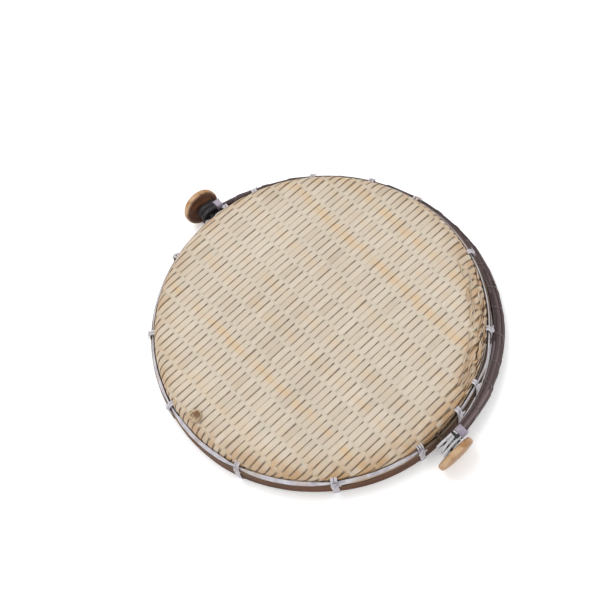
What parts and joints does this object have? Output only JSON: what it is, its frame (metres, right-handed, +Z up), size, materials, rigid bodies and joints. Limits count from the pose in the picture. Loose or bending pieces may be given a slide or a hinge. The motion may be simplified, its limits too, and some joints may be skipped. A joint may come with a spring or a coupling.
{
  "type": "winnowing basket",
  "caption": "Shallow round woven bamboo basket with hoops, cloth tape lashings, side knobs on pegs and a folding bound bail, lying base up.",
  "frame": {"origin": "on the ground, under the middle of the box round basket, knobs and folded bail; the basket's own centre is 6.1 mm towards -X of it", "axes": "+Z up out of the woven base, +Y towards the far knob along the bail's hinge line, +X towards the folded bail"},
  "size_m": [0.3825, 0.426, 0.0482],
  "materials": {
    "bamboo_weave": "matte",
    "hoop_wood": "satin",
    "cloth_tape": "matte",
    "black_peg": "satin",
    "knob_wood": "satin",
    "bail_splint": "matte",
    "thread": "matte",
    "black_strap": "satin",
    "bead_cane": "satin"
  },
  "bodies": {
    "basket": {"woven_tray": "bamboo_weave", "inner_hoop": "hoop_wood", "outer_hoop_long": "hoop_wood", "outer_hoop_short": "hoop_wood", "rim_tape_right": "cloth_tape", "rim_tape_left": "cloth_tape", "rim_lashings": "cloth_tape", "base_bead": "bead_cane"},
    "knob_near": {"peg_near": "black_peg", "knob_near": "knob_wood"},
    "knob_far": {"peg_far": "black_peg", "knob_far": "knob_wood"},
    "bail": {"bail_inner_splint": "bail_splint", "bail_middle_splint": "bail_splint", "bail_outer_splint": "bail_splint", "bail_upper_splint": "bail_splint", "bail_lower_splint": "bail_splint", "bail_binding": "thread", "bail_eye_near": "cloth_tape", "bail_eye_far": "black_strap", "bail_end_wrap_near": "cloth_tape", "bail_end_wrap_far": "cloth_tape"}
  },
  "joints": [
    {"name": "bail_swing", "type": "hinge", "parent": "basket", "child": "bail", "pos_m": [-0.00607, 0, 0.02385], "axis": [0, -1, 0], "range_deg": [0, 190]},
    {"name": "knob_near_spin", "type": "hinge", "parent": "basket", "child": "knob_near", "pos_m": [-0.00607, -0.207, 0.0223], "axis": [0, -0.9903, -0.1392], "continuous": true},
    {"name": "knob_far_spin", "type": "hinge", "parent": "basket", "child": "knob_far", "pos_m": [-0.00607, 0.207, 0.0223], "axis": [0, 0.9903, -0.1392], "continuous": true}
  ]
}
